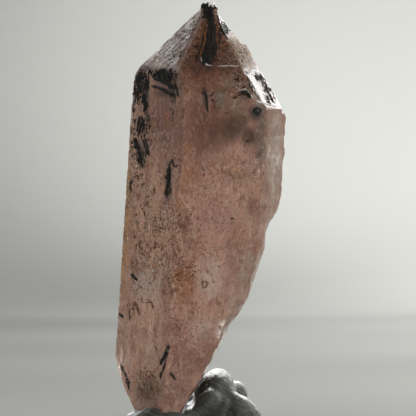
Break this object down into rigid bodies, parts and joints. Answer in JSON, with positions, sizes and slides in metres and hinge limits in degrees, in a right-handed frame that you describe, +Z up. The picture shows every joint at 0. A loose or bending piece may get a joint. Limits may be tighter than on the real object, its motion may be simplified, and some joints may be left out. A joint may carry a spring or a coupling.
{
  "type": "crystal specimen on mounting putty",
  "caption": "Single stepped quartz point with a broken lower flank, held upright in a kneaded putty lump.",
  "frame": {"origin": "under the middle of the whole part, on the surface that it stands on", "axes": "+Z up along the crystal, the broad front prism face looks along -Y, +X to the right of that view"},
  "size_m": [0.0275, 0.0243, 0.0708],
  "materials": {
    "quartz": "clear to cloudy pinkish brown quartz, glossy growth faces with a frosted tip face and a chipped flank",
    "putty": "grey kneaded putty, satin, with soft folds"
  },
  "bodies": {
    "root": {"quartz_point": "quartz", "mounting_putty": "putty"}
  },
  "joints": []
}
